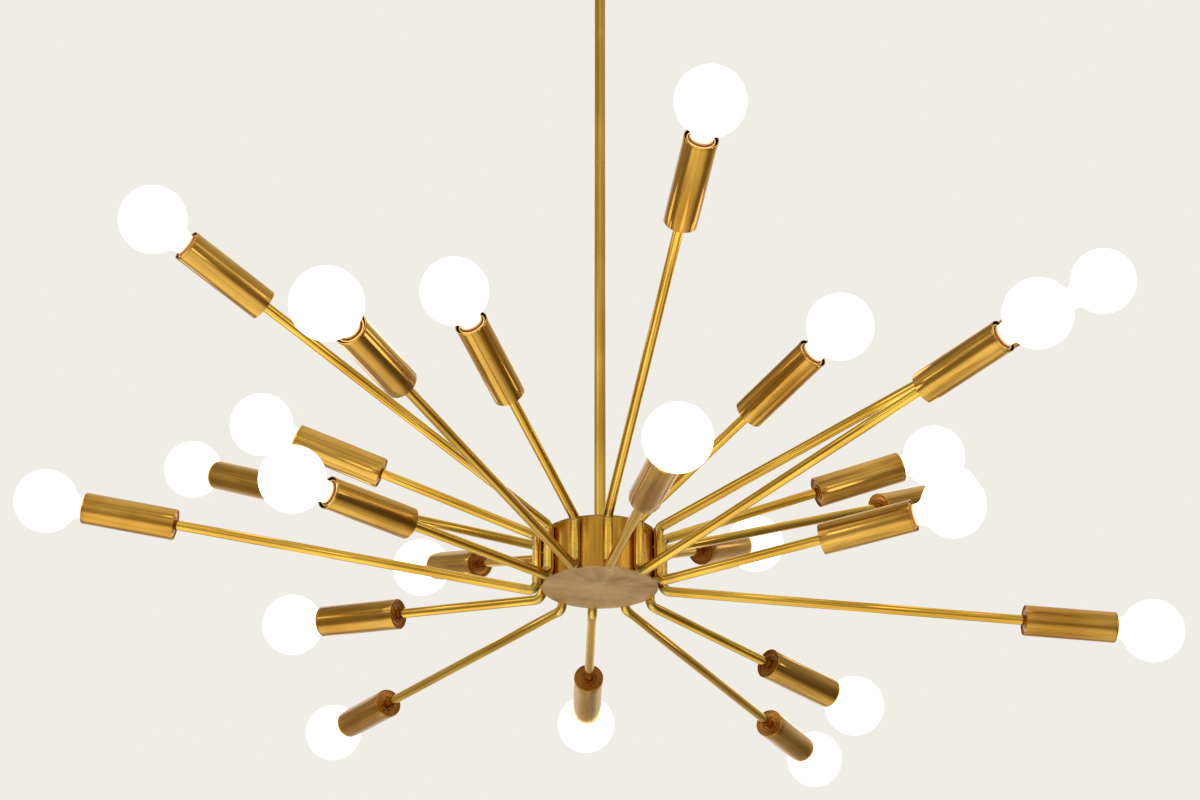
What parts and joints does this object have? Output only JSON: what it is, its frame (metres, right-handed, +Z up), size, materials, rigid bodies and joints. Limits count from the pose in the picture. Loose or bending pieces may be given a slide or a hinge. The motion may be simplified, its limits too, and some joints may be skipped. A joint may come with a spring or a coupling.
{
  "type": "sputnik chandelier",
  "caption": "Brass sputnik chandelier: tubes bent into square brackets stand round a short drum on a long stem, each tube ending in sleeve holders with opal globe lamps.",
  "frame": {"origin": "middle of the ceiling crossbar's top face, where it meets the ceiling", "axes": "+Z up into the ceiling, +X along the line of the crossbar's two bolt holes, -Y towards the viewer of the picture"},
  "size_m": [1.4938, 1.3999, 1.0951],
  "materials": {
    "polished_brass": "aged polish",
    "sleeve_brass": "satin, brushed lengthwise",
    "drum_brass": "aged gloss",
    "spun_brass": "satin, brushed",
    "disc_brass": "turned, tarnished",
    "contact_brass": "bright",
    "opal_glass": "opal, lit",
    "cap_metal": "bright",
    "socket_black": "moulded",
    "glazed_ceramic": "glazed",
    "zinc_plated_steel": "zinc plated",
    "lead_insulation": "extruded"
  },
  "bodies": {
    "frame": {"ceiling_crossbar": "zinc_plated_steel", "threaded_nipples": "zinc_plated_steel", "lock_nuts": "zinc_plated_steel", "stem_upper": "polished_brass", "stem_lower": "polished_brass", "stem_bushes": "polished_brass", "drum_cover": "spun_brass", "drum": "drum_brass", "drum_bottom_plate": "spun_brass", "drum_bridge": "zinc_plated_steel", "terminal_ring": "glazed_ceramic", "bus_rings": "contact_brass", "supply_lead": "lead_insulation", "lamp_leads_upper": "lead_insulation", "lamp_leads_lower": "lead_insulation", "holder_sleeves_upper": "sleeve_brass", "holder_sleeves_lower": "sleeve_brass", "holder_end_discs": "disc_brass", "socket_bodies": "socket_black", "screw_shells": "contact_brass", "centre_contacts": "contact_brass", "arm_tube_01": "polished_brass", "arm_tube_02": "polished_brass", "arm_tube_03": "polished_brass", "arm_tube_04": "polished_brass", "arm_tube_05": "polished_brass", "arm_tube_06": "polished_brass", "arm_tube_07": "polished_brass", "arm_tube_08": "polished_brass", "arm_tube_09": "polished_brass", "arm_tube_10": "polished_brass", "arm_tube_11": "polished_brass", "arm_tube_12": "polished_brass"},
    "canopy": {"canopy": "spun_brass", "canopy_collar": "polished_brass", "collar_thumb_screw": "polished_brass"},
    "upper_lamp_01": {"upper_lamp_01": "opal_glass"},
    "upper_lamp_02": {"upper_lamp_02": "opal_glass"},
    "upper_lamp_03": {"upper_lamp_03": "opal_glass"},
    "upper_lamp_04": {"upper_lamp_04": "opal_glass"},
    "upper_lamp_05": {"upper_lamp_05": "opal_glass"},
    "upper_lamp_06": {"upper_lamp_06": "opal_glass"},
    "upper_lamp_07": {"upper_lamp_07": "opal_glass"},
    "upper_lamp_08": {"upper_lamp_08": "opal_glass"},
    "upper_lamp_09": {"upper_lamp_09": "opal_glass"},
    "upper_lamp_10": {"upper_lamp_10": "opal_glass"},
    "upper_lamp_11": {"upper_lamp_11": "opal_glass"},
    "upper_lamp_12": {"upper_lamp_12": "opal_glass"},
    "lower_lamp_01": {"lower_lamp_01": "opal_glass"},
    "lower_lamp_02": {"lower_lamp_02": "opal_glass"},
    "lower_lamp_03": {"lower_lamp_03": "opal_glass"},
    "lower_lamp_04": {"lower_lamp_04": "opal_glass"},
    "lower_lamp_05": {"lower_lamp_05": "opal_glass"},
    "lower_lamp_06": {"lower_lamp_06": "opal_glass"},
    "lower_lamp_07": {"lower_lamp_07": "opal_glass"},
    "lower_lamp_08": {"lower_lamp_08": "opal_glass"},
    "lower_lamp_09": {"lower_lamp_09": "opal_glass"},
    "lower_lamp_10": {"lower_lamp_10": "opal_glass"},
    "lower_lamp_11": {"lower_lamp_11": "opal_glass"},
    "lower_lamp_12": {"lower_lamp_12": "opal_glass"}
  },
  "joints": [
    {"name": "canopy_slide", "type": "slide", "parent": "frame", "child": "canopy", "axis": [0, 0, -1], "range_m": [0, 0.12]},
    {"name": "upper_lamp_01_out", "type": "slide", "parent": "frame", "child": "upper_lamp_01", "axis": [0.175, -0.9002, 0.3987], "range_m": [0, 0.045]},
    {"name": "upper_lamp_02_out", "type": "slide", "parent": "frame", "child": "upper_lamp_02", "axis": [0.6145, -0.7069, 0.3502], "range_m": [0, 0.045]},
    {"name": "upper_lamp_03_out", "type": "slide", "parent": "frame", "child": "upper_lamp_03", "axis": [0.8597, -0.3473, 0.3746], "range_m": [0, 0.045]},
    {"name": "upper_lamp_04_out", "type": "slide", "parent": "frame", "child": "upper_lamp_04", "axis": [0.9361, 0.0819, 0.342], "range_m": [0, 0.045]},
    {"name": "upper_lamp_05_out", "type": "slide", "parent": "frame", "child": "upper_lamp_05", "axis": [0.7129, 0.5877, 0.3827], "range_m": [0, 0.045]},
    {"name": "upper_lamp_06_out", "type": "slide", "parent": "frame", "child": "upper_lamp_06", "axis": [0.4982, 0.782, 0.3746], "range_m": [0, 0.045]},
    {"name": "upper_lamp_07_out", "type": "slide", "parent": "frame", "child": "upper_lamp_07", "axis": [-0.0814, 0.93, 0.3584], "range_m": [0, 0.045]},
    {"name": "upper_lamp_08_out", "type": "slide", "parent": "frame", "child": "upper_lamp_08", "axis": [-0.5375, 0.7969, 0.2756], "range_m": [0, 0.045]},
    {"name": "upper_lamp_09_out", "type": "slide", "parent": "frame", "child": "upper_lamp_09", "axis": [-0.803, 0.4636, 0.3746], "range_m": [0, 0.045]},
    {"name": "upper_lamp_10_out", "type": "slide", "parent": "frame", "child": "upper_lamp_10", "axis": [-0.9261, -0.0892, 0.3665], "range_m": [0, 0.045]},
    {"name": "upper_lamp_11_out", "type": "slide", "parent": "frame", "child": "upper_lamp_11", "axis": [-0.7256, -0.5772, 0.3746], "range_m": [0, 0.045]},
    {"name": "upper_lamp_12_out", "type": "slide", "parent": "frame", "child": "upper_lamp_12", "axis": [-0.3597, -0.8473, 0.3907], "range_m": [0, 0.045]},
    {"name": "lower_lamp_01_out", "type": "slide", "parent": "frame", "child": "lower_lamp_01", "axis": [0.1993, -0.9798, 0.0175], "range_m": [0, 0.045]},
    {"name": "lower_lamp_02_out", "type": "slide", "parent": "frame", "child": "lower_lamp_02", "axis": [0.695, -0.6829, 0.225], "range_m": [0, 0.045]},
    {"name": "lower_lamp_03_out", "type": "slide", "parent": "frame", "child": "lower_lamp_03", "axis": [0.9266, -0.3557, 0.1219], "range_m": [0, 0.045]},
    {"name": "lower_lamp_04_out", "type": "slide", "parent": "frame", "child": "lower_lamp_04", "axis": [0.9948, 0.087, -0.0523], "range_m": [0, 0.045]},
    {"name": "lower_lamp_05_out", "type": "slide", "parent": "frame", "child": "lower_lamp_05", "axis": [0.7368, 0.6634, -0.1305], "range_m": [0, 0.045]},
    {"name": "lower_lamp_06_out", "type": "slide", "parent": "frame", "child": "lower_lamp_06", "axis": [0.4536, 0.8902, -0.0436], "range_m": [0, 0.045]},
    {"name": "lower_lamp_07_out", "type": "slide", "parent": "frame", "child": "lower_lamp_07", "axis": [-0.0261, 0.9972, -0.0698], "range_m": [0, 0.045]},
    {"name": "lower_lamp_08_out", "type": "slide", "parent": "frame", "child": "lower_lamp_08", "axis": [-0.5446, 0.8386, 0.0087], "range_m": [0, 0.045]},
    {"name": "lower_lamp_09_out", "type": "slide", "parent": "frame", "child": "lower_lamp_09", "axis": [-0.8843, 0.4603, 0.0785], "range_m": [0, 0.045]},
    {"name": "lower_lamp_10_out", "type": "slide", "parent": "frame", "child": "lower_lamp_10", "axis": [-0.9835, -0.0515, 0.1736], "range_m": [0, 0.045]},
    {"name": "lower_lamp_11_out", "type": "slide", "parent": "frame", "child": "lower_lamp_11", "axis": [-0.7697, -0.6345, 0.0698], "range_m": [0, 0.045]},
    {"name": "lower_lamp_12_out", "type": "slide", "parent": "frame", "child": "lower_lamp_12", "axis": [-0.4041, -0.9077, 0.1132], "range_m": [0, 0.045]}
  ]
}
